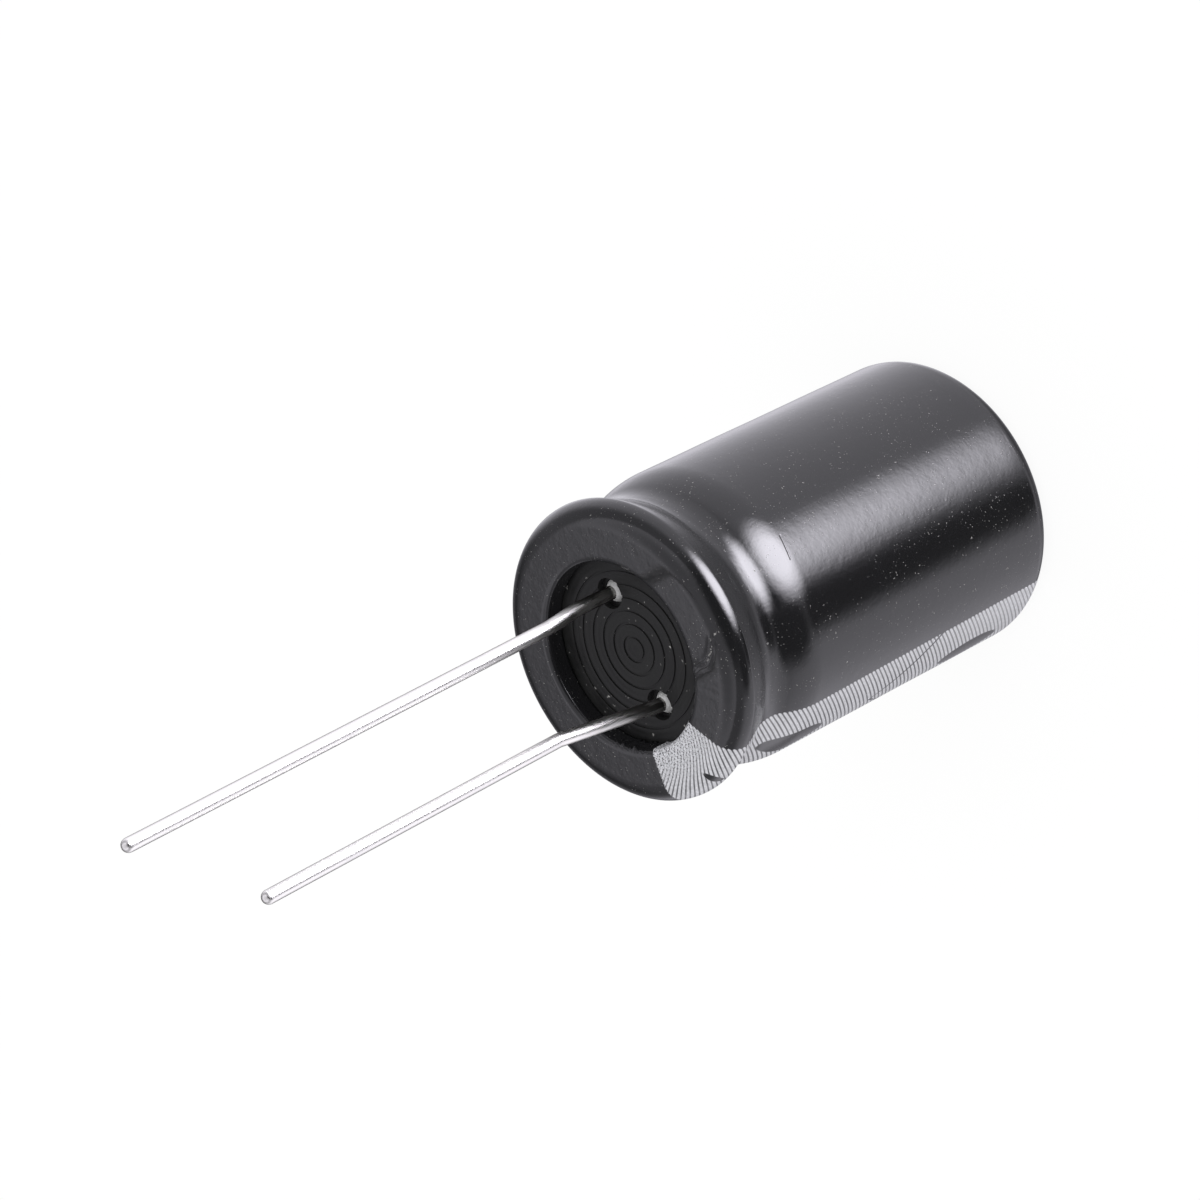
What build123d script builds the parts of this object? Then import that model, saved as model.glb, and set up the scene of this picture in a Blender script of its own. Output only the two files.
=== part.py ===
"""Radial aluminium electrolytic capacitor, 12.5 x 20 mm, standing on its closed end.

Millimetres. +Z runs along the leads, z = 0 is the closed end's outer face, and the two leads
lie along X: the anode at -X and the cathode at +X.
"""
from build123d import *
import math
import os

# Body
body_length = 20.2        # over the sleeve, closed end to front face
can_od = 12.5
can_wall = 0.4
can_corner_r = 0.7        # outside corner of the closed end
bottom_wall = 0.4

# Rim and bead at the open end, measured down from the can's top
rim_swell = 0.09          # how far the rim stands out past the body
rim_corner_r = 0.85
rim_flat = 0.15           # straight part of the rim between its corner and the taper
bead_floor_top_drop = 2.55
bead_floor_low_drop = 3.55
bead_low_drop = 4.1       # where the wall is back at the body's diameter
bead_depth = 0.8
body_shoulder_r = 0.7     # rounding where the side turns into the bead
rim_inside_r = 0.1        # the same rounding at the rim, on the inside of the wall
fillet_share = 0.98       # share of the rim's straight part that its fillet may take
bead_floor_r = 0.35

# Curl that closes the can's mouth
mouth_r = 4.32            # inner face of the curl
mouth_corner_r = 0.12
curl_drop = 1.15          # how far the curl's end reaches down into the rubber

# Sleeve
sleeve_wall = 0.2
sleeve_fit = 0.02         # gap left by the shrink
sleeve_bead_depth = 0.5   # the film bridges part of the bead
sleeve_lip_drop = 0.7     # how far the film turns down into the mouth
sleeve_rear_r = 5.1       # opening left around the closed end

# Vent score in the closed end
vent_length = 8.0
vent_width = 0.3
vent_depth = 0.15

# Rubber bung
bung_thickness = 5.1
bung_recess = 0.98        # front face below the sleeve's front face
bung_clearance = 0.03
ring_count = 6
ring_inner_r = 0.55
ring_pitch = 0.58
ring_width = 0.12
ring_depth = 0.05

# Leads and tabs
lead_pitch = 5.0
wire_d = 0.6
lead_lean_deg = 0.95      # both straight parts lean a little towards +X
anode_length = 26.7       # height of the tip above the bung's face
cathode_length = 21.9
anode_set_in = 0.17       # how far the bend's end lies inside the hole's axis
cathode_set_in = 0.6
anode_bend_start = 1.9    # heights of the bends above the bung's face
anode_bend_end = 3.7
cathode_bend_start = 0.1
cathode_bend_end = 5.6
anode_bend_r = 5.0
cathode_bend_r = 1.2
tab_bar_d = 1.0
tab_clearance = 0.02
weld_drop = 0.1           # weld between bar and wire, below the bung's face
weld_height = 0.3
hole_mouth_d = 1.35
hole_mouth_depth = 0.35
paddle_width = 1.6
paddle_thickness = 0.3
paddle_length = 11.0

# Wound element and its tape
winding_bottom_gap = 0.05
winding_top_gap = 0.6
winding_side_gap = 0.12   # between the tape and the can
winding_core_r = 0.8
tape_thickness = 0.08
tape_margin = 1.2         # winding left bare above and below the tape
paddle_clearance = 0.05

# Places worked out from the sizes above
can_r = can_od / 2
rim_r = can_r + rim_swell
rim_side_drop = rim_corner_r + rim_flat
rim_taper_angle = math.atan2(rim_swell + bead_depth, bead_floor_top_drop - rim_side_drop)
rim_shoulder_limit_r = fillet_share * rim_flat / math.tan(rim_taper_angle / 2)
rim_shoulder_r = min(rim_inside_r + can_wall, rim_shoulder_limit_r)
can_bottom_z = sleeve_wall + sleeve_fit
can_top_z = body_length - sleeve_wall - sleeve_fit
floor_z = can_bottom_z + bottom_wall
bung_face_z = body_length - bung_recess
bung_bottom_z = bung_face_z - bung_thickness
curl_end_z = can_top_z - curl_drop
winding_bottom_z = floor_z + winding_bottom_gap
winding_top_z = bung_bottom_z - winding_top_gap
tape_outer_r = can_r - can_wall - winding_side_gap
winding_r = tape_outer_r - tape_thickness
lead_x = lead_pitch / 2
weld_z = bung_face_z - weld_drop


def side_points(bead):
    """Outer line of the can's side, from the closed end up to the rim, for one bead depth."""
    return [
        (can_r, can_top_z - bead_low_drop),
        (can_r - bead, can_top_z - bead_floor_low_drop),
        (can_r - bead, can_top_z - bead_floor_top_drop),
        (rim_r, can_top_z - rim_side_drop),
        (rim_r, can_top_z),
    ]


def wall_line(start_r, bead, mouth_drop):
    """Outer line of a thin wall in the XY plane: end face, side with its bead, rim and mouth."""
    points = [(start_r, can_bottom_z), (can_r, can_bottom_z), *side_points(bead)]
    points += [(mouth_r, can_top_z), (mouth_r, can_top_z - mouth_drop)]
    side_radii = [body_shoulder_r, bead_floor_r, bead_floor_r, rim_shoulder_r]
    radii = [can_corner_r, *side_radii, rim_corner_r, mouth_corner_r]
    return Wire(FilletPolyline(*points, radius=radii).edges())


def strip(line, low, high):
    """Face between two lines parallel to a wall line; positive distances lie outside it."""
    near = line if low == 0 else moved_line(line, low)
    far = line if high == 0 else moved_line(line, high)
    caps = [Edge.make_line(near @ 0, far @ 0), Edge.make_line(near @ 1, far @ 1)]
    return make_face([*near.edges(), *far.edges(), *caps])


def moved_line(line, distance):
    """Line parallel to a wall line, running the same way."""
    shifted = line.offset_2d(abs(distance), side=Side.RIGHT if distance > 0 else Side.LEFT, closed=False)
    same_way = (shifted @ 0 - line @ 0).length < (shifted @ 1 - line @ 0).length
    return shifted if same_way else Wire([edge.reversed() for edge in reversed(shifted.edges())])


def turned(face):
    """Solid of revolution about Z of a face drawn with X as the radius and Y as the height."""
    return revolve(Rot(90, 0, 0) * face, Axis.Z)


def ring(outer_r, inner_r, low_z, high_z):
    """Plain ring about Z."""
    outer = Pos(0, 0, low_z) * Cylinder(outer_r, high_z - low_z, align=(Align.CENTER, Align.CENTER, Align.MIN))
    inner = Pos(0, 0, low_z) * Cylinder(inner_r, high_z - low_z, align=(Align.CENTER, Align.CENTER, Align.MIN))
    return outer - inner


def rod(x, radius, low_z, high_z):
    """Plain round bar parallel to Z."""
    return Pos(x, 0, low_z) * Cylinder(radius, high_z - low_z, align=(Align.CENTER, Align.CENTER, Align.MIN))


def make_can():
    """Drawn can: closed end with a crossed vent score, bead, rim and curled mouth."""
    can = turned(strip(wall_line(0, bead_depth, curl_drop), -can_wall, 0))
    score = Pos(0, 0, can_bottom_z) * Box(vent_length, vent_width, 2 * vent_depth)
    return can - score - Rot(0, 0, 90) * score


def make_sleeve():
    """Shrunk film: open around the closed end, over the bead and rim, and down into the mouth."""
    line = wall_line(sleeve_rear_r, sleeve_bead_depth, sleeve_lip_drop)
    return turned(strip(line, sleeve_fit, sleeve_fit + sleeve_wall))


def make_bung():
    """Rubber bung filling the can's open end, with its lead holes and moulded rings."""
    inside = moved_line(wall_line(0, bead_depth, curl_drop), -(can_wall + bung_clearance))
    curl_outer = inside @ 1
    notch_z = curl_end_z - bung_clearance
    nose_r = mouth_r - bung_clearance
    corners = [curl_outer, (curl_outer.X, notch_z), (nose_r, notch_z), (nose_r, bung_face_z)]
    closing = Polyline(*corners, (0, bung_face_z), inside @ 0)
    bung = turned(make_face([*inside.edges(), *closing.edges()]))
    bung = bung & rod(0, can_r, bung_bottom_z, body_length)
    for x in (-lead_x, lead_x):
        bung -= rod(x, tab_bar_d / 2 + tab_clearance, bung_bottom_z, bung_face_z)
        bung -= rod(x, hole_mouth_d / 2, bung_face_z - hole_mouth_depth, bung_face_z)
    for i in range(ring_count):
        middle_r = ring_inner_r + i * ring_pitch
        inner_r = middle_r - ring_width / 2
        bung -= ring(inner_r + ring_width, inner_r, bung_face_z - ring_depth, bung_face_z)
    return bung


def make_wire(side, set_in, bend_start, bend_end, bend_r, length):
    """Tinned lead with one gentle crank above the bung; side is -1 or +1 along X."""
    x = side * lead_x
    bend_end_x = side * (lead_x - set_in)
    straight_height = length - bend_end - wire_d / 2
    tip_x = bend_end_x + straight_height * math.tan(math.radians(lead_lean_deg))
    tip_z = bung_face_z + length - wire_d / 2
    path = FilletPolyline(
        (x, 0, weld_z),
        (x, 0, bung_face_z + bend_start),
        (bend_end_x, 0, bung_face_z + bend_end),
        (tip_x, 0, tip_z),
        radius=bend_r,
    )
    section = Plane(origin=(x, 0, weld_z), z_dir=(0, 0, 1)) * Circle(wire_d / 2)
    return sweep(section, path=path) + Pos(tip_x, 0, tip_z) * Sphere(wire_d / 2)


def paddle_box(x, grow):
    """Flat part of a tab inside the winding, grown on every side by a clearance."""
    top_z = bung_bottom_z - winding_top_gap / 2
    size = (paddle_width + 2 * grow, paddle_thickness + 2 * grow, paddle_length + 2 * grow)
    return Pos(x, 0, top_z - paddle_length / 2) * Box(*size)


def make_tab(x):
    """Aluminium tab: flat paddle, round bar through the bung, and the weld cone at the lead."""
    paddle_top_z = bung_bottom_z - winding_top_gap / 2
    bar = rod(x, tab_bar_d / 2, paddle_top_z - tab_bar_d / 2, weld_z - weld_height)
    cone = Pos(x, 0, weld_z - weld_height / 2) * Cone(tab_bar_d / 2, wire_d / 2, weld_height)
    return paddle_box(x, 0) + bar + cone


def make_winding():
    """Foils and paper rolled together, with its core hole and the slots the tabs lie in."""
    winding = ring(winding_r, winding_core_r, winding_bottom_z, winding_top_z)
    for x in (-lead_x, lead_x):
        winding -= paddle_box(x, paddle_clearance)
        winding -= rod(x, tab_bar_d / 2 + paddle_clearance, winding_top_z - tab_bar_d, winding_top_z)
    return winding


def make_tape():
    """Tape wrapped round the winding."""
    return ring(tape_outer_r, winding_r, winding_bottom_z + tape_margin, winding_top_z - tape_margin)


pieces = {
    "sleeve": make_sleeve(),
    "can": make_can(),
    "rubber_bung": make_bung(),
    "anode_wire": make_wire(-1, anode_set_in, anode_bend_start, anode_bend_end, anode_bend_r, anode_length),
    "cathode_wire": make_wire(
        1, cathode_set_in, cathode_bend_start, cathode_bend_end, cathode_bend_r, cathode_length
    ),
    "anode_tab": make_tab(-lead_x),
    "cathode_tab": make_tab(lead_x),
    "wound_element": make_winding(),
    "winding_tape": make_tape(),
}

os.makedirs("parts", exist_ok=True)
for name, shape in pieces.items():
    export_step(shape, f"parts/{name}.step")
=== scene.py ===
import math

import bpy
from bpy.props import FloatProperty, FloatVectorProperty, IntProperty, PointerProperty
from mathutils import Euler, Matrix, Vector, noise


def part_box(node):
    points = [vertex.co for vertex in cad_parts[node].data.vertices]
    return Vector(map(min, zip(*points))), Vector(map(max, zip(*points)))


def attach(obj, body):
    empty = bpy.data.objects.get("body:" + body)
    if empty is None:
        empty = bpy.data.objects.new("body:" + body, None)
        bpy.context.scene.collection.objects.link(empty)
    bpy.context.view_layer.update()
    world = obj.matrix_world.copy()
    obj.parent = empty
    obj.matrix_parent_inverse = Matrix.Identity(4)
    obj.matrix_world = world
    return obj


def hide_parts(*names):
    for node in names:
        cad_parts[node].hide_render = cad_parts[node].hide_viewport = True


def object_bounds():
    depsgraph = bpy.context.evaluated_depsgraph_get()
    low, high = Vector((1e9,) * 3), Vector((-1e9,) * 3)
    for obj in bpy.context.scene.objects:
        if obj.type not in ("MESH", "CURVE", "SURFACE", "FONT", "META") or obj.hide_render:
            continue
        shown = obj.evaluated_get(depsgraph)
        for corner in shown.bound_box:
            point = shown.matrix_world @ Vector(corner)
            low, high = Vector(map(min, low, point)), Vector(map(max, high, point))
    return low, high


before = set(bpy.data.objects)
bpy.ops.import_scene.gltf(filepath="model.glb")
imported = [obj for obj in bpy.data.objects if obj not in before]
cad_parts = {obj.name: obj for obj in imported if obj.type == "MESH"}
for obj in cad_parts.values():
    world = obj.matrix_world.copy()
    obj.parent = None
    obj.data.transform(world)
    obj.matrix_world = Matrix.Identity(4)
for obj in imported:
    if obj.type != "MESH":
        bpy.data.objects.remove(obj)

bl_info = {
    "name": "Radial Electrolytic Capacitor",
    "version": (1, 0, 0),
    "blender": (4, 5, 0),
    "location": "3D View > Sidebar > Capacitor",
    "description": "Finishes for a sleeved radial capacitor: printed film, rubber bung, tinned leads",
    "category": "Add Mesh",
}

MM = 0.001
BODY = "root"
cad_box = [list(corner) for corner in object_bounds()]
sleeve_low, sleeve_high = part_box("sleeve")
anode_low, anode_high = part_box("anode_wire")
cathode_low, cathode_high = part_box("cathode_wire")


def length(name, metres, text):
    """Length property in metres."""
    return FloatProperty(name=name, description=text, default=metres, unit="LENGTH", precision=6)


def angle(name, degrees, text):
    """Angle property in radians."""
    return FloatProperty(name=name, description=text, default=math.radians(degrees), subtype="ANGLE")


def share(name, value, text):
    """Plain number property without a unit."""
    return FloatProperty(name=name, description=text, default=value, precision=4)


def colour(name, value, text):
    """Linear colour property."""
    return FloatVectorProperty(name=name, description=text, default=value, size=3, subtype="COLOR")


class SleeveSettings(bpy.types.PropertyGroup):
    """Shape and finish of the shrunk film."""

    film: length("Film thickness", 0.2 * MM, "Thickness of the film")
    body_radius: length("Body radius", 6.47 * MM, "Outside radius of the straight side")
    rim_radius: length("Rim radius", sleeve_high.x, "Outside radius at the rim")
    top: length("Front face height", sleeve_high.z, "Height of the front face")
    rear_opening: length("Rear opening radius", 5.1 * MM, "Radius left open around the closed end")
    rear_corner: length("Rear corner", 0.92 * MM, "Rounding at the closed end")
    bead_depth: length("Bead depth", 0.5 * MM, "How far the film dips into the bead")
    bead_low_drop: length("Bead start", 4.45 * MM, "Start of the bead below the front face")
    floor_low_drop: length("Bead floor start", 3.3 * MM, "Low end of the bead's floor")
    floor_high_drop: length("Bead floor end", 2.45 * MM, "High end of the bead's floor")
    rim_low_drop: length("Rim start", 1.02 * MM, "Where the taper meets the rim")
    body_shoulder: length("Body shoulder", 4.1 * MM, "Rounding between the side and the bead")
    floor_round: length("Bead floor rounding", 1.7 * MM, "Rounding at the bead's floor")
    rim_shoulder: length("Rim shoulder", 0.35 * MM, "Rounding between the taper and the rim")
    rim_corner: length("Rim corner", 0.93 * MM, "Rounding between the rim and the front face")
    mouth_radius: length("Mouth radius", 4.1 * MM, "Opening in the front face")
    mouth_corner: length("Mouth corner", 0.22 * MM, "Rounding where the film turns into the mouth")
    lip_drop: length("Lip depth", 0.92 * MM, "How far the film turns down into the mouth")
    segments: IntProperty(name="Segments", description="Steps around the axis", default=384, min=24)
    step: length("Profile step", 0.1 * MM, "Spacing of points along the profile")
    side_step: length("Side step", 0.8 * MM, "Spacing of points along the straight side")
    film_colour: colour("Film colour", (0.010, 0.010, 0.011), "Black of the film")
    ink_colour: colour("Ink colour", (0.54, 0.54, 0.57), "Silver-grey of the stripe")
    film_roughness: share("Film roughness", 0.12, "Roughness of the bare film")
    ink_roughness: share("Ink roughness", 0.4, "Roughness of the printed ink")


class StripeSettings(bpy.types.PropertyGroup):
    """Layout of the polarity stripe on the film; the cathode lead lies at zero degrees."""

    low_edge: angle("Low edge", -6.3, "Edge of the stripe beyond the cathode lead")
    high_edge: angle("High edge", 41.8, "Other edge, at the closed end")
    hatch_pitch: length("Hatch pitch", 0.24 * MM, "Spacing of the hatch lines along the axis")
    hatch_slant: share("Hatch slant", 0.75, "Axial rise of a hatch line for each unit around")
    hatch_gap: share("Hatch gap", 0.36, "Share of the pitch with thin ink")
    gap_ink: share("Gap ink", 0.16, "Ink coverage in the gaps")
    repeat: length("Repeat", 11.3 * MM, "Length after which the printed marks repeat")
    minus_height: length("Minus height", 15.2 * MM, "Height of a minus mark's centre")
    minus_length: length("Minus length", 3.7 * MM, "Length of a minus mark")
    minus_width: length("Minus width", 1.5 * MM, "Width of a minus mark")
    arrow_height: length("Arrow height", 10.27 * MM, "Height of an arrow line's tip")
    arrow_width: length("Arrow line", 0.18 * MM, "Width of the arrow line")
    arrow_slope: share("Arrow slope", 1.32, "Axial fall of the arrow line for each unit around")
    arrow_end: length("Arrow end", 19.1 * MM, "Profile length past which no arrow line is printed")
    rim_mark_height: length("Rim mark height", 20.1 * MM, "Profile length at the small mark on the rim")
    rim_mark_length: length("Rim mark length", 1.0 * MM, "Length of the small mark on the rim")
    rim_mark_width: length("Rim mark width", 0.4 * MM, "Width of the small mark on the rim")
    rim_mark_side: length("Rim mark side", 0.05 * MM, "How far around the small mark lies off the middle")
    taper: angle("Taper", -0.19, "Turn of the high edge for each millimetre of profile")
    rim_taper: angle("Rim taper", -0.55, "Further turn of the high edge for each millimetre near the rim")
    rim_taper_start: length("Rim taper start", 17.0 * MM, "Profile length at which the further turn starts")
    edge_ragged: angle("Ragged edge", 0.7, "How far the edges follow the hatch lines")
    edge_soft: angle("Soft edge", 0.22, "Softness of the edges to both sides")
    face_start: length("Face start", 20.2 * MM, "Profile length at which the hatch starts to break up")
    face_end: length("Face end", 22.2 * MM, "Profile length past which the hatch is speckled")


class FoldSettings(bpy.types.PropertyGroup):
    """Fold, wrinkles and scratch left in the film by shrinking and handling."""

    start: angle("Fold start", 65.0, "Direction of the fold at the mouth")
    sweep: angle("Fold sweep", 21.0, "Turn of the fold between the mouth and the rim")
    sway: angle("Fold sway", 1.5, "Swing of the fold to both sides")
    sways: share("Fold sways", 9.0, "Radians of swing between the mouth and the rim")
    margin: length("Rim margin", 0.4 * MM, "Edge of the face that the fold doesn't reach")
    ridge_width: length("Ridge width", 0.16 * MM, "Half width of the ridge and of the dip beside it")
    ridge_height: length("Ridge height", 0.035 * MM, "Height of the ridge")
    dip_depth: length("Dip depth", 0.025 * MM, "Depth of the dip beside the ridge")
    wrinkle_width: length("Wrinkle width", 0.15 * MM, "Half width of a shrink wrinkle")
    wrinkle_height: length("Wrinkle height", 0.005 * MM, "Height of a shrink wrinkle")
    lip_turn: angle("Ragged lip", -22.0, "Middle of the ragged part of the lip")
    lip_spread: angle("Ragged lip spread", 16.0, "Reach of the ragged part of the lip")
    lip_height: length("Ragged lip height", 0.3 * MM, "How far the ragged lip stands into the mouth")
    wave_depth: length("Wave depth", 0.018 * MM, "Depth of the film's slow unevenness")
    tick_turn: angle("Scratch turn", 102.4, "Middle of the scratch behind the bead")
    tick_height: length("Scratch height", 15.03 * MM, "Height of the scratch")
    tick_reach: angle("Scratch reach", 4.4, "Half length of the scratch")


class LeadSettings(bpy.types.PropertyGroup):
    """Shape and finish of the tinned leads."""

    diameter: length("Wire diameter", 0.6 * MM, "Diameter of both leads")
    pitch: length("Lead pitch", 5.0 * MM, "Spacing of the leads in the bung")
    foot: length("Foot height", anode_low.z, "Height of the weld to the tab")
    bung_face: length("Bung face height", 19.22 * MM, "Height of the bung's front face")
    lean: angle("Lean", 0.95, "Lean of both straight parts towards the cathode side")
    anode_set_in: length("Anode set-in", 0.17 * MM, "Crank of the long lead")
    anode_bend_start: length("Anode bend start", 1.9 * MM, "Start of the crank above the bung")
    anode_bend_end: length("Anode bend end", 3.7 * MM, "End of the crank above the bung")
    anode_bend_radius: length("Anode bend radius", 5.0 * MM, "Radius of the crank's bends")
    cathode_set_in: length("Cathode set-in", 0.6 * MM, "Crank of the short lead")
    cathode_bend_start: length("Cathode bend start", 0.1 * MM, "Start of the crank above the bung")
    cathode_bend_end: length("Cathode bend end", 5.6 * MM, "End of the crank above the bung")
    cathode_bend_radius: length("Cathode bend radius", 1.2 * MM, "Radius of the crank's bends")
    metal: colour("Tin colour", (0.87, 0.86, 0.83), "Bright tin")
    roughness: share("Tin roughness", 0.3, "Roughness of the tin")


class StageSettings(bpy.types.PropertyGroup):
    """Camera, floor and light."""

    camera_place: FloatVectorProperty(
        name="Camera place",
        description="Where the camera stands",
        default=(-9.905 * MM, 145.441 * MM, 142.100 * MM),
        subtype="TRANSLATION",
        precision=6,
    )
    camera_turn: FloatVectorProperty(
        name="Camera turn",
        description="Rotation of the camera",
        default=(math.radians(-27.6263), math.radians(43.4662), math.radians(55.6772)),
        subtype="EULER",
        precision=6,
    )
    lens: FloatProperty(name="Lens", description="Focal length in millimetres", default=139.886)
    floor_size: length("Floor size", 3.0, "Side of the square floor")
    key_power: FloatProperty(
        name="Key power", description="Power of the soft lamp", default=0.35, unit="POWER"
    )


# ---------------------------------------------------------------- node helpers


class Graph:
    """Adds nodes to a tree and links them, so that a material reads as a list of steps."""

    def __init__(self, tree):
        self.tree = tree
        tree.nodes.clear()

    def put(self, socket, value):
        if isinstance(value, bpy.types.NodeSocket):
            self.tree.links.new(value, socket)
        else:
            socket.default_value = value

    def add(self, kind, inputs=(), **settings):
        node = self.tree.nodes.new(kind)
        for name, value in settings.items():
            setattr(node, name, value)
        for name, value in dict(inputs).items():
            self.put(node.inputs[name], value)
        return node

    def math(self, operation, *values):
        node = self.add("ShaderNodeMath", operation=operation)
        for socket, value in zip(node.inputs, values):
            self.put(socket, value)
        return node.outputs[0]

    def total(self, first, *others):
        for other in others:
            first = self.math("ADD", first, other)
        return first

    def product(self, first, *others):
        for other in others:
            first = self.math("MULTIPLY", first, other)
        return first

    def inverse(self, value):
        return self.math("SUBTRACT", 1.0, value)

    def fade(self, value, low, high, start=0.0, end=1.0):
        """Smooth step from start to end as value goes from low to high."""
        node = self.add("ShaderNodeMapRange", interpolation_type="SMOOTHSTEP")
        for name, number in (("Value", value), ("From Min", low), ("From Max", high)):
            self.put(node.inputs[name], number)
        self.put(node.inputs["To Min"], start)
        self.put(node.inputs["To Max"], end)
        return node.outputs["Result"]

    def mix(self, factor, first, second):
        node = self.add("ShaderNodeMix", data_type="RGBA")
        for index, value in ((0, factor), (6, first), (7, second)):
            self.put(node.inputs[index], value)
        return node.outputs[2]

    def noise(self, scale, detail=2.0, vector=None, stretch=(1.0, 1.0, 1.0)):
        """Noise on the object's own coordinates, in cycles per metre."""
        place = vector or self.add("ShaderNodeTexCoord").outputs["Object"]
        mapping = self.add("ShaderNodeMapping", {"Vector": place, "Scale": stretch})
        inputs = {"Vector": mapping.outputs[0], "Scale": scale, "Detail": detail}
        texture = self.add("ShaderNodeTexNoise", inputs)
        return texture.outputs[0]

    def bump(self, height, depth, normal=None):
        """Bump whose full height is depth metres."""
        inputs = {"Height": height, "Distance": depth, "Strength": 1.0}
        if normal is not None:
            inputs["Normal"] = normal
        return self.add("ShaderNodeBump", inputs).outputs[0]

    def surface(self, shader):
        output = self.add("ShaderNodeOutputMaterial")
        self.tree.links.new(shader, output.inputs["Surface"])

    def principled(self, **inputs):
        sockets = {}
        for name, value in inputs.items():
            sockets[name.replace("_", " ").title().replace("Ior", "IOR")] = value
        self.surface(self.add("ShaderNodeBsdfPrincipled", sockets).outputs[0])


def cylindrical(g):
    """Radius, angle and height of a shading point about the part's axis."""
    place = g.add("ShaderNodeSeparateXYZ", {"Vector": g.add("ShaderNodeTexCoord").outputs["Object"]})
    x, y, z = place.outputs["X"], place.outputs["Y"], place.outputs["Z"]
    radius = g.math("SQRT", g.math("ADD", g.product(x, x), g.product(y, y)))
    return radius, g.math("ARCTAN2", y, x), z


def new_graph(name):
    """Empty node material and the graph that fills it."""
    material = bpy.data.materials.new(name)
    material.use_nodes = True
    return material, Graph(material.node_tree)


def opaque(value, alpha=1.0):
    """Colour with an alpha channel."""
    return (*value, alpha)


def dress(node_name, material):
    """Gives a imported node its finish."""
    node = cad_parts[node_name]
    if not node.material_slots:
        node.data.materials.append(None)
    for place in node.material_slots:
        place.link = "OBJECT"
        place.material = material


# ---------------------------------------------------------------- mesh helpers


def rounded_path(corners, radii, step, long_step):
    """Points along straight runs joined by tangent arcs, about one step apart."""
    points = [Vector(corners[0])]
    for before, corner, after, radius in zip(corners, corners[1:], corners[2:], radii):
        corner = Vector(corner)
        back = (Vector(before) - corner).normalized()
        ahead = (Vector(after) - corner).normalized()
        half_turn = (math.pi - back.angle(ahead)) / 2
        reach = radius * math.tan(half_turn)
        start, end = corner + back * reach, corner + ahead * reach
        centre = corner + (back + ahead).normalized() * (radius / math.cos(half_turn))
        add_run(points, start, step, long_step)
        steps = max(6, math.ceil(2 * half_turn * radius / step))
        spoke, last_spoke = start - centre, end - centre
        for i in range(1, steps + 1):
            points.append(centre + arc_spoke(spoke, last_spoke, i / steps))
    add_run(points, Vector(corners[-1]), step, long_step)
    return points


def arc_spoke(first, last, part):
    """Vector turned a part of the way from first to last, both of one length."""
    whole = first.angle(last)
    return (first * math.sin((1 - part) * whole) + last * math.sin(part * whole)) / math.sin(whole)


def add_run(points, end, step, long_step):
    """Appends evenly spaced points of a straight run, up to its end; long runs take wider steps."""
    start = points[-1]
    run = (end - start).length
    count = max(1, math.ceil(run / (long_step if run > 8 * long_step else step)))
    for i in range(1, count + 1):
        points.append(start.lerp(end, i / count))


def inner_line(points, distance):
    """Line parallel to a profile, on its inner side."""
    moved = []
    for i, point in enumerate(points):
        along = (points[min(i + 1, len(points) - 1)] - points[max(i - 1, 0)]).normalized()
        moved.append(point + Vector((-along.y, along.x)) * distance)
    return moved


def new_piece(name, vertices, faces, uvs, material):
    """Smooth mesh object with one UV map."""
    mesh = bpy.data.meshes.new(name)
    mesh.from_pydata(vertices, [], faces)
    layer = mesh.uv_layers.new(name="film_map")
    for loop, uv in zip(layer.data, uvs):
        loop.uv = uv
    mesh.shade_smooth()
    mesh.materials.append(material)
    piece = bpy.data.objects.new(name, mesh)
    bpy.context.scene.collection.objects.link(piece)
    return piece


def bell(distance, width):
    """Smooth bump of height one at zero."""
    return math.exp(-((distance / width) ** 2))


# ---------------------------------------------------------------- sleeve

MAP_LENGTH = 0.1      # metres of profile that the map's second axis spans
MAP_START = 0.005     # profile length below the closed end that the map still holds
INNER_STRIDE = 3      # the hidden inner face keeps every third point
MARK_EDGE = (0.88, 1.08)    # soft edge of a minus mark, as shares of its ellipse's squared size
RIM_MARK_EDGE = (0.8, 1.1)  # the same for the small mark on the rim
FACE_EDGE = 0.3 * MM  # how far the fold may run past the flat of the front face
FOLD_DROP = 0.35 * MM # the fold is raised only this close below the front face
LIP_ZONE = 0.12 * MM  # thickness of the lip's zone around the mouth
LIP_TOP = 0.02 * MM   # the lip stays smooth this close to the front face
WRINKLES = ((-8.0, 0.6), (-3.5, 0.8), (0.0, 1.0), (4.0, 1.2))  # degrees from the fold's start, and weight


def sleeve_profile(sizes):
    """Outer line of the film from the rear opening to the end of its lip, as radius and height."""
    floor_radius = sizes.body_radius - sizes.bead_depth
    corners = [
        (sizes.rear_opening, sleeve_low.z),
        (sizes.body_radius, sleeve_low.z),
        (sizes.body_radius, sizes.top - sizes.bead_low_drop),
        (floor_radius, sizes.top - sizes.floor_low_drop),
        (floor_radius, sizes.top - sizes.floor_high_drop),
        (sizes.rim_radius, sizes.top - sizes.rim_low_drop),
        (sizes.rim_radius, sizes.top),
        (sizes.mouth_radius, sizes.top),
        (sizes.mouth_radius, sizes.top - sizes.lip_drop),
    ]
    radii = [
        sizes.rear_corner,
        sizes.body_shoulder,
        sizes.floor_round,
        sizes.floor_round,
        sizes.rim_shoulder,
        sizes.rim_corner,
        sizes.mouth_corner,
    ]
    return rounded_path(corners, radii, sizes.step, sizes.side_step)


def profile_lengths(outer, sizes):
    """Length along the profile, counted so that it equals the height on the straight side."""
    lengths = [0.0]
    for first, second in zip(outer, outer[1:]):
        lengths.append(lengths[-1] + (second - first).length)
    on_side = next(i for i, point in enumerate(outer) if point.y > 2 * sizes.rear_corner)
    shift = outer[on_side].y - lengths[on_side]
    return [value + shift for value in lengths]


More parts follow.
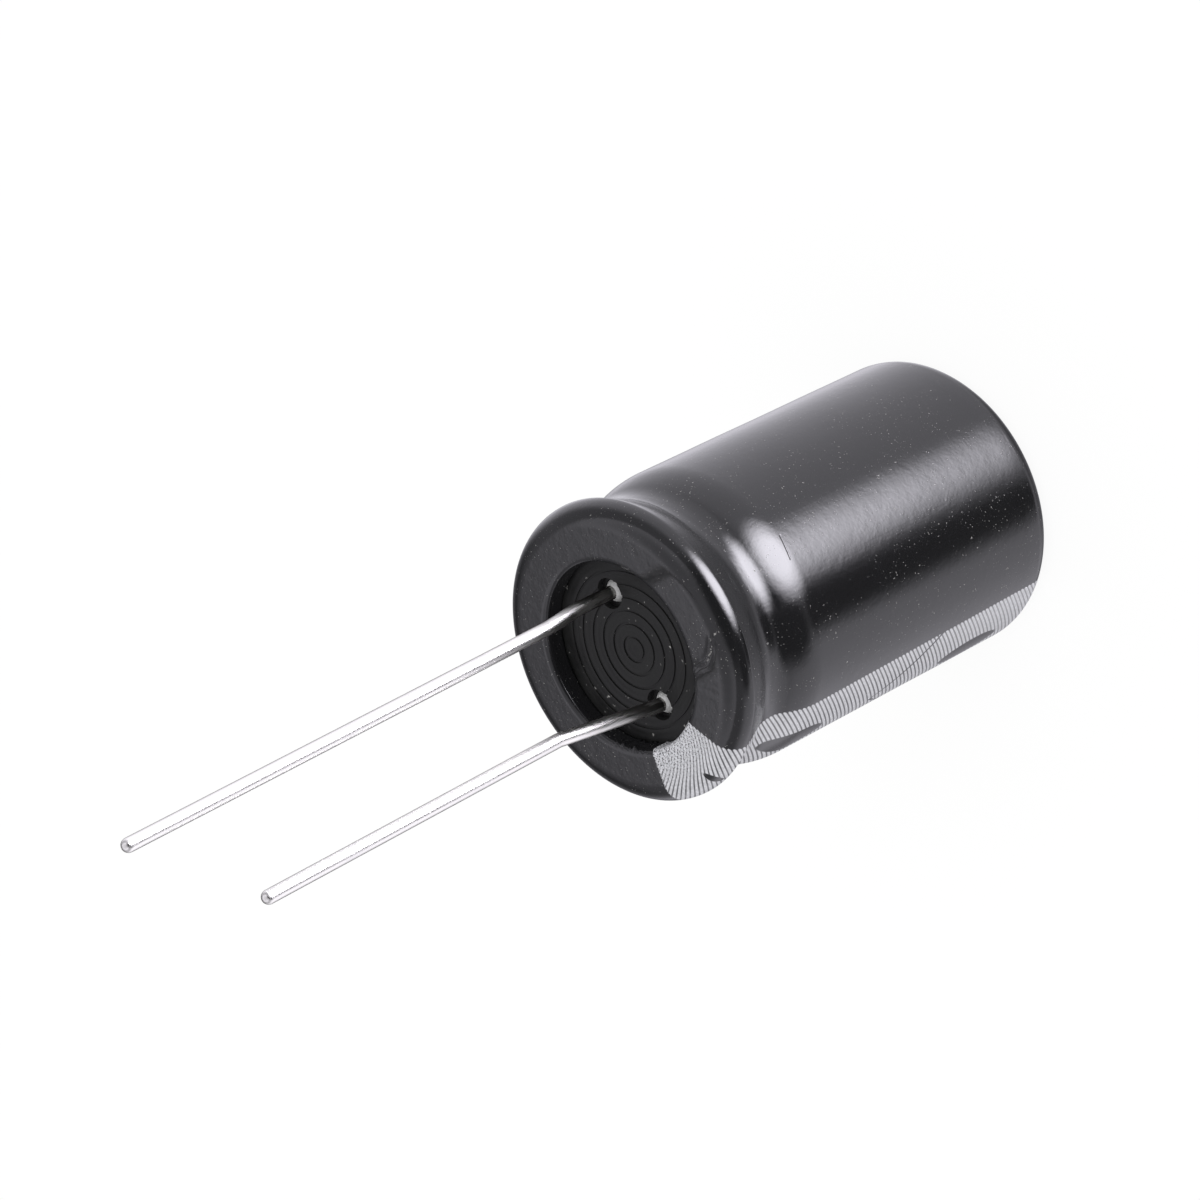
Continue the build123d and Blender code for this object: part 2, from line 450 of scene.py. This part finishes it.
def fold_height(radius, turn, sizes, fold):
    """Height of the fold and the shrink wrinkles on the front face, in metres."""
    face_start, face_end = sizes.mouth_radius, sizes.rim_radius - fold.margin
    if not face_start - FACE_EDGE < radius < face_end + FACE_EDGE:
        return 0.0
    along = max(0.0, (radius - face_start) / (face_end - face_start))
    ridge_turn = fold.start + fold.sweep * along + fold.sway * math.sin(fold.sways * along)
    arc = (turn - ridge_turn) * radius
    ridge = fold.ridge_height * bell(arc - 0.75 * fold.ridge_width, fold.ridge_width)
    dip = fold.dip_depth * bell(arc + 0.875 * fold.ridge_width, fold.ridge_width)
    wrinkles = 0.0
    for degrees, weight in WRINKLES:
        offset = (turn - fold.start - math.radians(degrees)) * radius
        wrinkles += weight * fold.wrinkle_height * bell(offset, fold.wrinkle_width)
    return bell(along - 0.5, 0.55) * (ridge - dip) + bell(along - 0.6, 0.45) * wrinkles


def lip_raggedness(radius, height, turn, sizes, fold):
    """How far the cut edge stands into the mouth beside the cathode lead."""
    if radius > sizes.mouth_radius + LIP_ZONE or height > sizes.top - LIP_TOP:
        return 0.0
    place = bell(turn - fold.lip_turn, fold.lip_spread)
    rough = noise.noise(Vector((turn * 24.0, height / MM * 1.7, 3.1)))
    return place * max(0.0, rough) * fold.lip_height


def waviness(turn, distance):
    """Slow unevenness of the shrunk film, from zero to one."""
    place = Vector((math.cos(turn) * 2.2, math.sin(turn) * 2.2, distance / MM * 0.33))
    return 0.5 + 0.5 * noise.noise(place)


def sleeve_mesh(sizes, fold, material):
    """Film turned about Z with its fold, wrinkles and ragged lip."""
    outer = sleeve_profile(sizes)
    lengths = profile_lengths(outer, sizes)
    inner = inner_line(outer, sizes.film)
    hidden = list(zip(inner, lengths))
    hidden = hidden[:-1:INNER_STRIDE] + hidden[-1:]
    loop_points = [(point, span, True) for point, span in zip(outer, lengths)]
    loop_points += [(point, span, False) for point, span in reversed(hidden)]
    count, turns = len(loop_points), sizes.segments
    vertices = []
    for j in range(turns):
        turn = -math.pi + 2 * math.pi * j / turns
        for point, span, outside in loop_points:
            radius, height = point
            radius -= fold.wave_depth * waviness(turn, span)
            radius -= lip_raggedness(point.x, height, turn, sizes, fold)
            if outside and height > sizes.top - FOLD_DROP:
                height += fold_height(point.x, turn, sizes, fold)
            vertices.append((radius * math.cos(turn), radius * math.sin(turn), height))
    faces, uvs = [], []
    for j in range(turns):
        here, there = j * count, (j + 1) % turns * count
        for i in range(count):
            k = (i + 1) % count
            faces.append((here + i, there + i, there + k, here + k))
            low_v = (loop_points[i][1] + MAP_START) / MAP_LENGTH
            high_v = (loop_points[k][1] + MAP_START) / MAP_LENGTH
            u, next_u = j / turns, (j + 1) / turns
            uvs += [(u, low_v), (next_u, low_v), (next_u, high_v), (u, high_v)]
    return new_piece("printed_sleeve", vertices, faces, uvs, material)


def film_material(sizes, stripe, fold):
    """Glossy black film with the hatched silver stripe, its minus marks, arrow lines and scratches."""
    material, g = new_graph("shrink_film")
    split = g.add("ShaderNodeSeparateXYZ", {"Vector": g.add("ShaderNodeUVMap", uv_map="film_map").outputs[0]})
    turn = g.math("MULTIPLY_ADD", split.outputs["X"], 2 * math.pi, -math.pi)
    span = g.math("MULTIPLY_ADD", split.outputs["Y"], MAP_LENGTH / MM, -MAP_START / MM)
    arc = g.product(turn, sizes.body_radius / MM)
    ink = stripe_ink(g, turn, span, arc, sizes, stripe)

    specks = g.fade(g.noise(11000, 2.0), 0.685, 0.73)
    line, debris = face_crease(g, turn, sizes, fold)
    dust = g.math("MAXIMUM", g.product(specks, g.fade(g.noise(700), 0.38, 0.58)), debris)
    tone = g.mix(g.product(dust, 0.7), opaque(sizes.film_colour), (0.34, 0.33, 0.32, 1.0))
    grain = g.fade(g.noise(9000, 2.0), 0.3, 0.7, 0.86, 1.1)
    silver = g.add("ShaderNodeVectorMath", operation="SCALE")
    g.put(silver.inputs[0], sizes.ink_colour)
    g.put(silver.inputs["Scale"], grain)
    colour_out = g.mix(ink, tone, silver.outputs[0])

    scuff = g.fade(g.noise(900, 4.0, stretch=(1.0, 1.0, 0.12)), 0.62, 0.8, 0.0, 0.07)
    bare = g.total(sizes.film_roughness, scuff, g.product(dust, 0.3))
    roughness = g.total(g.product(bare, g.inverse(ink)), g.product(ink, sizes.ink_roughness))
    peel = g.bump(g.noise(2300, 2.0), 4.5e-6)
    fine = g.bump(g.noise(7600, 2.0), 2.2e-6, peel)
    hairs = g.fade(g.noise(1900, 1.0, stretch=(1.0, 1.0, 0.06)), 0.48, 0.5)
    brushed = g.bump(hairs, 0.35e-6, fine)
    printed = g.bump(g.total(ink, dust), 2.5e-6, brushed)
    scratched = g.bump(g.math("MAXIMUM", tick_mark(g, turn, span, fold), line), -14e-6, printed)
    g.principled(base_color=colour_out, roughness=roughness, normal=scratched, ior=1.5)
    return material


def face_crease(g, turn, sizes, fold):
    """Sharp line of the fold on the front face, and the white debris caught at its outer end."""
    radius, _, height = cylindrical(g)
    radius, height = g.product(radius, 1 / MM), g.product(height, 1 / MM)
    face_start = sizes.mouth_radius / MM
    face_width = (sizes.rim_radius - fold.margin) / MM - face_start
    along = g.math("DIVIDE", g.math("SUBTRACT", radius, face_start), face_width)
    swing = g.product(g.math("SINE", g.product(along, fold.sways)), fold.sway)
    drift = g.product(g.math("SUBTRACT", g.noise(3200, 2.0), 0.5), math.radians(5.0))
    ridge_turn = g.total(g.product(along, fold.sweep), fold.start, swing, drift)
    arc = g.math("ABSOLUTE", g.product(g.math("SUBTRACT", turn, ridge_turn), radius))
    on_face = g.fade(height, sizes.top / MM - 0.35, sizes.top / MM - 0.15)
    inside = g.product(on_face, g.fade(along, 0.92, 1.0, 1.0, 0.0))
    line = g.product(g.fade(arc, 0.015, 0.06, 1.0, 0.0), inside)
    crumbs = g.product(g.fade(g.noise(9000, 1.0), 0.52, 0.6), g.fade(along, 0.4, 0.65))
    debris = g.product(g.fade(arc, 0.03, 0.1, 1.0, 0.0), crumbs, inside)
    return line, debris


def tick_mark(g, turn, span, fold):
    """Short scratch across the side, just behind the bead."""
    across = g.math("SUBTRACT", turn, fold.tick_turn)
    along = g.math("ADD", g.math("SUBTRACT", span, fold.tick_height / MM), g.product(across, 1.2))
    line = g.fade(g.math("ABSOLUTE", along), 0.02, 0.07, 1.0, 0.0)
    soft_end = math.radians(0.8)
    ends = g.fade(g.math("ABSOLUTE", across), fold.tick_reach, fold.tick_reach + soft_end, 1.0, 0.0)
    return g.product(line, ends)


def outside_ellipse(g, along, across, long_size, wide_size, edge):
    """Zero inside an ellipse of a full length and width in metres, one outside its soft edge."""
    along = g.math("POWER", g.math("ABSOLUTE", g.product(along, 2 * MM / long_size)), 2.0)
    across = g.math("POWER", g.math("ABSOLUTE", g.product(across, 2 * MM / wide_size)), 2.0)
    return g.fade(g.math("ADD", along, across), *edge)


def stripe_ink(g, turn, span, arc, sizes, stripe):
    """Ink coverage: one on silver, zero on bare film. Lengths inside are in millimetres."""
    slanted = g.math("SUBTRACT", span, g.product(arc, stripe.hatch_slant))
    phase = g.math("FRACT", g.math("DIVIDE", slanted, stripe.hatch_pitch / MM))
    wave = g.product(g.math("ABSOLUTE", g.math("SUBTRACT", phase, 0.5)), 2.0)
    gap_start = 1.0 - stripe.hatch_gap
    gap_ink = g.fade(span, 1.5, 8.0, stripe.gap_ink + 0.3, stripe.gap_ink)
    hatch = g.fade(wave, gap_start - 0.12, gap_start + 0.12, 1.0, gap_ink)
    on_face = g.fade(span, stripe.face_start / MM, stripe.face_end / MM)
    speckle = g.fade(g.noise(15000, 1.0), 0.40, 0.50)
    broken = g.fade(g.math("ADD", g.product(hatch, 0.7), g.product(speckle, 0.9)), 0.5, 1.1)
    texture = g.total(g.product(hatch, g.inverse(on_face)), g.product(broken, on_face))

    centre = (stripe.low_edge + stripe.high_edge) / 2
    side = g.product(g.math("SUBTRACT", turn, centre), sizes.body_radius / MM)
    inside = stripe_width(g, turn, span, wave, stripe)
    marks = g.math("MINIMUM", minus_marks(g, span, side, stripe), arrow_lines(g, span, side, stripe))
    return g.product(texture, inside, marks)


def stripe_width(g, turn, span, wave, stripe):
    """One between the stripe's two edges, which follow the ends of the hatch lines."""
    past_rim = g.math("MAXIMUM", g.math("SUBTRACT", span, stripe.rim_taper_start / MM), 0.0)
    narrowing = g.math("ADD", g.product(span, stripe.taper), g.product(past_rim, stripe.rim_taper))
    high = g.math("ADD", narrowing, stripe.high_edge)
    ragged = g.math("ADD", turn, g.product(wave, stripe.edge_ragged))
    soft = stripe.edge_soft
    above_low = g.fade(g.math("SUBTRACT", ragged, stripe.low_edge), -soft, soft)
    below_high = g.fade(g.math("SUBTRACT", ragged, high), -soft, soft, 1.0, 0.0)
    return g.product(above_low, below_high)


def minus_marks(g, span, side, stripe):
    """Zero on the minus marks and on the small mark at the rim."""
    repeat, height = stripe.repeat / MM, stripe.minus_height / MM
    wrapped = g.math("WRAP", span, height + repeat / 2, height - repeat / 2)
    along = g.math("SUBTRACT", wrapped, height)
    marks = outside_ellipse(g, along, side, stripe.minus_length, stripe.minus_width, MARK_EDGE)
    rim_along = g.math("SUBTRACT", span, stripe.rim_mark_height / MM)
    rim_side = g.math("SUBTRACT", side, stripe.rim_mark_side / MM)
    rim_size = (stripe.rim_mark_length, stripe.rim_mark_width)
    rim_mark = outside_ellipse(g, rim_along, rim_side, *rim_size, RIM_MARK_EDGE)
    return g.math("MINIMUM", marks, rim_mark)


def arrow_lines(g, span, side, stripe):
    """Zero on the thin arrow lines between the minus marks."""
    repeat = stripe.repeat / MM
    fall = g.product(g.math("ABSOLUTE", side), stripe.arrow_slope)
    tip = g.total(span, fall, repeat / 2 - stripe.arrow_height / MM)
    away = g.math("SUBTRACT", g.math("WRAP", tip, repeat, 0.0), repeat / 2)
    half_line = stripe.arrow_width / MM / 2
    line = g.fade(g.math("ABSOLUTE", away), half_line * 0.7, half_line * 1.5)
    end = stripe.arrow_end / MM
    return g.math("MAXIMUM", line, g.fade(span, end, end + 0.3))


class CAPACITOR_OT_sleeve(bpy.types.Operator):
    """Make the printed film"""

    bl_idname = "capacitor.sleeve"
    bl_label = "Printed sleeve"

    def execute(self, context):
        scene = context.scene
        sizes, fold = scene.capacitor_sleeve, scene.capacitor_fold
        film = film_material(sizes, scene.capacitor_stripe, fold)
        piece = sleeve_mesh(sizes, fold, film)
        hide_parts("sleeve")
        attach(piece, BODY)
        return {"FINISHED"}


# ---------------------------------------------------------------- leads


def lead_path(sizes, side, set_in, bend_start, bend_end, bend_radius, tip_height):
    """Centre line of a lead in the XZ plane, from the weld to the centre of its rounded tip."""
    foot_x = side * sizes.pitch / 2
    bend_x = side * (sizes.pitch / 2 - set_in)
    tip_z = tip_height - sizes.diameter / 2
    bend_z = sizes.bung_face + bend_end
    tip_x = bend_x + (tip_z - bend_z) * math.tan(sizes.lean)
    corners = [(foot_x, sizes.foot), (foot_x, sizes.bung_face + bend_start), (bend_x, bend_z), (tip_x, tip_z)]
    return rounded_path(corners, [bend_radius, bend_radius], 0.25 * MM, 0.5 * MM)


def lead_mesh(name, path, radius, material):
    """Round wire along a path in the XZ plane, with a domed tip and faint flats from handling."""
    sides, dome_steps = 40, 8
    rings = []
    for i, point in enumerate(path):
        along = (path[min(i + 1, len(path) - 1)] - path[max(i - 1, 0)]).normalized()
        rings.append((point, along, radius))
    tip, tip_along, _ = rings[-1]
    for i in range(1, dome_steps):
        lift = math.pi / 2 * i / dome_steps
        rings.append((tip + tip_along * radius * math.sin(lift), tip_along, radius * math.cos(lift)))
    vertices, faces, uvs = [], [], []
    for point, along, ring_radius in rings:
        across = Vector((along.y, -along.x))
        for k in range(sides):
            turn = 2 * math.pi * k / sides
            place = Vector((math.cos(turn) * 1.4, math.sin(turn) * 1.4, point.y / MM * 0.9))
            reach = ring_radius * (1.0 - 0.004 * (0.5 + 0.5 * noise.noise(place)))
            x = point.x + across.x * reach * math.cos(turn)
            z = point.y + across.y * reach * math.cos(turn)
            vertices.append((x, reach * math.sin(turn), z))
    for i in range(len(rings) - 1):
        for k in range(sides):
            n = (k + 1) % sides
            faces.append((i * sides + k, i * sides + n, (i + 1) * sides + n, (i + 1) * sides + k))
            u, next_u, v, next_v = k / sides, (k + 1) / sides, i / len(rings), (i + 1) / len(rings)
            uvs += [(u, v), (next_u, v), (next_u, next_v), (u, next_v)]
    first_ring = list(range(sides))
    faces.append(tuple(reversed(first_ring)))
    uvs += [(k / sides, 0.0) for k in first_ring]
    top = len(vertices)
    end = tip + tip_along * radius * 0.985
    vertices.append((end.x, 0.0, end.y))
    start = (len(rings) - 1) * sides
    for k in range(sides):
        faces.append((start + k, start + (k + 1) % sides, top))
        uvs += [(k / sides, 1.0), ((k + 1) / sides, 1.0), (k / sides, 1.0)]
    piece = new_piece(name, vertices, faces, uvs, material)
    return piece


def tin_material(sizes):
    """Bright tin with drawn streaks, small nicks and slightly darker smears, and a painted dark reflection of
    the bung in streaks on the wire just above it.
    """
    material, g = new_graph("bright_tin")
    streaks = g.noise(6000, 3.0, stretch=(1.0, 1.0, 0.03))
    smears = g.fade(g.noise(420, 3.0), 0.4, 0.75)
    nicks = g.fade(g.noise(4300, 2.0, stretch=(1.0, 1.0, 0.5)), 0.66, 0.72)
    clean = g.mix(g.product(smears, 0.2), opaque(sizes.metal), (0.62, 0.62, 0.63, 1.0))
    _, _, height = cylindrical(g)
    # painted reflection: streaks of dark tin from 1 to 5 mm above the bung face stand in for the dark bung
    # mirrored in the wire
    near_bung = g.fade(height, sizes.bung_face + 1.0 * MM, sizes.bung_face + 5.0 * MM, 1.0, 0.0)
    painted_bung_reflection = g.product(near_bung, g.fade(g.noise(3400, 3.0, stretch=(1.0, 1.0, 0.18)), 0.42, 0.58))
    worn = g.mix(g.product(nicks, 0.08), clean, (0.2, 0.2, 0.2, 1.0))
    # the painted bung reflection darkens the tin towards near-black
    tone = g.mix(g.product(painted_bung_reflection, 0.75), worn, (0.10, 0.095, 0.09, 1.0))
    roughness = g.total(sizes.roughness, g.product(smears, 0.05), g.product(nicks, 0.04))
    drawn = g.bump(streaks, 0.12e-6)
    normal = g.bump(nicks, -0.2e-6, drawn)
    g.principled(
        base_color=tone, metallic=1.0, roughness=roughness, normal=normal, specular_tint=(0.0, 0.0, 0.0, 1.0)
    )
    return material


class CAPACITOR_OT_leads(bpy.types.Operator):
    """Make both tinned leads"""

    bl_idname = "capacitor.leads"
    bl_label = "Tinned leads"

    def execute(self, context):
        sizes = context.scene.capacitor_leads
        tin = tin_material(sizes)
        anode = lead_path(
            sizes, -1, sizes.anode_set_in, sizes.anode_bend_start, sizes.anode_bend_end,
            sizes.anode_bend_radius, anode_high.z,
        )
        cathode = lead_path(
            sizes, 1, sizes.cathode_set_in, sizes.cathode_bend_start, sizes.cathode_bend_end,
            sizes.cathode_bend_radius, cathode_high.z,
        )
        for node, path in (("anode_wire", anode), ("cathode_wire", cathode)):
            piece = lead_mesh(f"tinned_{node}", path, sizes.diameter / 2, tin)
            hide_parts(node)
            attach(piece, BODY)
        return {"FINISHED"}


# ---------------------------------------------------------------- bung, can, tabs and winding


def rubber_material():
    """Matt black rubber with fine moulding rings, dust and bloom."""
    material, g = new_graph("moulded_rubber")
    radius, _, _ = cylindrical(g)
    drift = g.product(g.noise(260), 0.35 * MM)
    rings = g.math("SINE", g.product(g.math("ADD", radius, drift), 2 * math.pi / (0.29 * MM)))
    specks = g.product(g.fade(g.noise(4600, 3.0), 0.69, 0.74), g.fade(g.noise(600), 0.45, 0.6))
    bloom = g.fade(g.noise(900, 4.0), 0.35, 0.75)
    tone = g.mix(bloom, (0.009, 0.009, 0.009, 1.0), (0.016, 0.016, 0.016, 1.0))
    dusty = g.mix(g.product(specks, 0.7), tone, (0.42, 0.41, 0.40, 1.0))
    roughness = g.fade(bloom, 0.0, 1.0, 0.42, 0.58)
    ringed = g.bump(rings, 2.5e-6)
    grained = g.bump(g.noise(7000, 3.0), 3e-6, ringed)
    normal = g.bump(specks, 6e-6, grained)
    g.principled(base_color=dusty, roughness=roughness, normal=normal, ior=1.5, specular_ior_level=0.25)
    return material


def aluminium_material(name, tone_low, tone_high, roughness, metallic=1.0):
    """Drawn aluminium with streaks around the axis and small dull patches."""
    material, g = new_graph(name)
    radius, _, height = cylindrical(g)
    turned = g.add("ShaderNodeCombineXYZ", {"X": radius, "Y": height})
    lines = g.noise(16000, 3.0, vector=turned.outputs[0])
    patches = g.fade(g.noise(500, 3.0), 0.3, 0.75)
    tone = g.mix(patches, opaque((tone_low,) * 3), opaque((tone_high,) * 3))
    rough = g.total(roughness, g.product(patches, 0.12))
    g.principled(base_color=tone, metallic=metallic, roughness=rough, normal=g.bump(lines, 1.5e-6))
    return material


def winding_material():
    """Ends of the rolled foil and paper: fine turns about the axis."""
    material, g = new_graph("foil_and_paper")
    radius, turn, _ = cylindrical(g)
    spiral = g.math("ADD", g.product(radius, 1 / (0.12 * MM)), g.product(turn, 1 / (2 * math.pi)))
    edge = g.fade(g.math("PINGPONG", spiral, 0.5), 0.12, 0.3)
    damp = g.fade(g.noise(600, 3.0), 0.35, 0.7)
    paper = g.mix(damp, (0.50, 0.42, 0.31, 1.0), (0.36, 0.29, 0.20, 1.0))
    tone = g.mix(edge, (0.33, 0.33, 0.34, 1.0), paper)
    g.principled(base_color=tone, roughness=g.fade(edge, 0.0, 1.0, 0.4, 0.8), normal=g.bump(edge, 12e-6))
    return material


def tape_material():
    """Tan wrapping tape with a fine weave of fibres."""
    material, g = new_graph("winding_tape_film")
    fibres = g.noise(5200, 4.0, stretch=(1.0, 1.0, 0.2))
    stains = g.fade(g.noise(320, 3.0), 0.35, 0.75)
    tone = g.mix(stains, (0.60, 0.50, 0.34, 1.0), (0.48, 0.38, 0.24, 1.0))
    roughness = g.fade(fibres, 0.2, 0.8, 0.45, 0.65)
    g.principled(base_color=tone, roughness=roughness, normal=g.bump(fibres, 5e-6))
    return material


class CAPACITOR_OT_bung(bpy.types.Operator):
    """Finish the rubber bung"""

    bl_idname = "capacitor.bung"
    bl_label = "Rubber bung"

    def execute(self, context):
        dress("rubber_bung", rubber_material())
        return {"FINISHED"}


class CAPACITOR_OT_can(bpy.types.Operator):
    """Finish the drawn can"""

    bl_idname = "capacitor.can"
    bl_label = "Aluminium can"

    def execute(self, context):
        dress("can", aluminium_material("drawn_can", 0.74, 0.84, 0.26))
        return {"FINISHED"}


class CAPACITOR_OT_tabs(bpy.types.Operator):
    """Finish the tabs that carry the leads"""

    bl_idname = "capacitor.tabs"
    bl_label = "Aluminium tabs"

    def execute(self, context):
        satin = aluminium_material("satin_tab", 0.86, 0.93, 0.36, 0.5)
        dress("anode_tab", satin)
        dress("cathode_tab", satin)
        return {"FINISHED"}


class CAPACITOR_OT_winding(bpy.types.Operator):
    """Finish the wound element and its tape"""

    bl_idname = "capacitor.winding"
    bl_label = "Wound element"

    def execute(self, context):
        dress("wound_element", winding_material())
        dress("winding_tape", tape_material())
        return {"FINISHED"}


# ---------------------------------------------------------------- stage


def floor_material():
    """Pale floor: white where seen, with a faint shadow, and plain white for light that bounces."""
    material, g = new_graph("pale_floor")
    mottle = g.mix(g.fade(g.noise(40, 3.0), 0.3, 0.7), (0.97, 0.97, 0.97, 1.0), (1.0, 1.0, 1.0, 1.0))
    matt = g.add("ShaderNodeBsdfDiffuse", {"Color": mottle})
    white = g.add("ShaderNodeEmission", {"Color": (1.0, 1.0, 1.0, 1.0), "Strength": 1.0})
    seen = g.product(g.add("ShaderNodeLightPath").outputs["Is Camera Ray"], 0.92)
    mixed = g.add("ShaderNodeMixShader", {"Fac": seen})
    g.put(mixed.inputs[1], matt.outputs[0])
    g.put(mixed.inputs[2], white.outputs[0])
    g.surface(mixed.outputs[0])
    return material


def make_floor(size):
    """Square floor at the height on which the part stands."""
    half = size / 2
    z = cad_box[0][2]
    mesh = bpy.data.meshes.new("floor")
    corners = [(-half, -half, z), (half, -half, z), (half, half, z), (-half, half, z)]
    mesh.from_pydata(corners, [], [(0, 1, 2, 3)])
    mesh.materials.append(floor_material())
    floor = bpy.data.objects.new("floor", mesh)
    bpy.context.scene.collection.objects.link(floor)
    floor.visible_glossy = False


def direction(turn, rise):
    """Unit vector for an azimuth and an elevation in degrees."""
    turn, rise = math.radians(turn), math.radians(rise)
    return (math.cos(rise) * math.cos(turn), math.cos(rise) * math.sin(turn), math.sin(rise))


def near(g, ray, turn, rise, inner, outer):
    """One inside a cone about a direction, fading to zero between two half angles in degrees."""
    dot = g.add("ShaderNodeVectorMath", operation="DOT_PRODUCT")
    g.put(dot.inputs[0], ray)
    g.put(dot.inputs[1], direction(turn, rise))
    away = g.math("ARCCOSINE", dot.outputs["Value"])
    return g.fade(away, math.radians(inner), math.radians(outer), 1.0, 0.0)


def make_studio():
    """World: white tent with one bright softbox and some dark gaps, seen only in reflections."""
    world = bpy.data.worlds.new("studio")
    bpy.context.scene.world = world
    world.use_nodes = True
    g = Graph(world.node_tree)
    ray = g.add("ShaderNodeTexCoord").outputs["Generated"]
    rise = g.add("ShaderNodeSeparateXYZ", {"Vector": ray}).outputs["Z"]
    from_below = g.fade(rise, -0.98, -0.78, 0.35, 1.32)
    ceiling_step = g.fade(rise, 0.615, 0.67, 0.45, 1.2)
    overhead = g.math("ADD", ceiling_step, g.fade(rise, 0.7, 0.95, 0.0, -0.5))
    tent = g.mix(g.fade(rise, -0.2, 0.3), from_below, overhead)
    dark_gaps = (
        near(g, ray, 90, 26, 22, 50),                        # opening above the softbox
        near(g, ray, 62, -40, 7, 22),                        # edge beside the softbox, low
        near(g, ray, 57, -8, 14, 33),                        # the same edge, higher up
        g.product(near(g, ray, 274, 0, 20, 39), 0.85),       # horizon behind the part
        g.product(near(g, ray, 278, -28, 12, 28), 0.85),     # the same, low
        g.product(near(g, ray, 296, -42, 16, 38), 0.75),     # dark table edge on the stripe's side
    )
    gap = dark_gaps[0]
    for other in dark_gaps[1:]:
        gap = g.math("MAXIMUM", gap, other)
    softbox = g.product(near(g, ray, 106, -20, 10, 33), 17.0)
    mirrored = g.math("ADD", g.product(tent, g.inverse(g.product(gap, 0.96))), softbox)
    path = g.add("ShaderNodeLightPath")
    strength = g.math("ADD", g.product(path.outputs["Is Glossy Ray"], g.math("SUBTRACT", mirrored, 1.0)), 1.0)
    tint = g.mix(path.outputs["Is Glossy Ray"], (1.0, 1.0, 1.0, 1.0), (1.0, 0.98, 1.065, 1.0))
    background = g.add("ShaderNodeBackground", {"Color": tint, "Strength": strength})
    output = g.add("ShaderNodeOutputWorld")
    g.put(output.inputs["Surface"], background.outputs[0])


def make_key(power):
    """One large soft lamp that shapes the matt surfaces."""
    lamp = bpy.data.lights.new("soft_key", "AREA")
    lamp.shape = "SQUARE"
    lamp.size = 0.25
    lamp.energy = power
    key = bpy.data.objects.new("soft_key", lamp)
    key.location = (-0.15, 0.18, 0.32)
    aim = Vector((0, 0, 0.015)) - key.location
    key.rotation_euler = aim.to_track_quat("-Z", "Y").to_euler()
    key.visible_glossy = False
    bpy.context.scene.collection.objects.link(key)


def make_camera(sizes):
    """Camera that looks down on the bung, rolled so that the leads point down to the left."""
    data = bpy.data.cameras.new("camera")
    data.sensor_width = 36.0
    data.lens = sizes.lens
    data.clip_start = 0.01
    camera = bpy.data.objects.new("camera", data)
    camera.location = sizes.camera_place
    camera.rotation_euler = Euler(sizes.camera_turn)
    bpy.context.scene.collection.objects.link(camera)
    bpy.context.scene.camera = camera


class CAPACITOR_OT_stage(bpy.types.Operator):
    """Make the floor, the light and the camera"""

    bl_idname = "capacitor.stage"
    bl_label = "Stage"

    def execute(self, context):
        sizes = context.scene.capacitor_stage
        context.scene.view_settings.view_transform = "Standard"
        make_floor(sizes.floor_size)
        make_studio()
        make_key(sizes.key_power)
        make_camera(sizes)
        return {"FINISHED"}


class CAPACITOR_PT_panel(bpy.types.Panel):
    """Buttons and sizes in the sidebar"""

    bl_idname = "CAPACITOR_PT_panel"
    bl_label = "Capacitor"
    bl_space_type = "VIEW_3D"
    bl_region_type = "UI"
    bl_category = "Capacitor"

    def draw(self, context):
        for operator in OPERATORS:
            self.layout.operator(operator.bl_idname)
        for attribute, group in GROUPS.items():
            box = self.layout.box()
            for name in group.__annotations__:
                box.prop(getattr(context.scene, attribute), name)


OPERATORS = (
    CAPACITOR_OT_stage,
    CAPACITOR_OT_sleeve,
    CAPACITOR_OT_bung,
    CAPACITOR_OT_leads,
    CAPACITOR_OT_tabs,
    CAPACITOR_OT_can,
    CAPACITOR_OT_winding,
)
GROUPS = {
    "capacitor_sleeve": SleeveSettings,
    "capacitor_stripe": StripeSettings,
    "capacitor_fold": FoldSettings,
    "capacitor_leads": LeadSettings,
    "capacitor_stage": StageSettings,
}


def register():
    for cls in (*GROUPS.values(), *OPERATORS, CAPACITOR_PT_panel):
        bpy.utils.register_class(cls)
    for attribute, group in GROUPS.items():
        setattr(bpy.types.Scene, attribute, PointerProperty(type=group))


def unregister():
    for attribute in GROUPS:
        delattr(bpy.types.Scene, attribute)
    for cls in reversed((*GROUPS.values(), *OPERATORS, CAPACITOR_PT_panel)):
        bpy.utils.unregister_class(cls)


def main():
    register()
    bpy.ops.capacitor.stage()
    bpy.ops.capacitor.sleeve()
    bpy.ops.capacitor.bung()
    bpy.ops.capacitor.leads()
    bpy.ops.capacitor.tabs()
    bpy.ops.capacitor.can()
    bpy.ops.capacitor.winding()


if __name__ == "__main__":
    main()
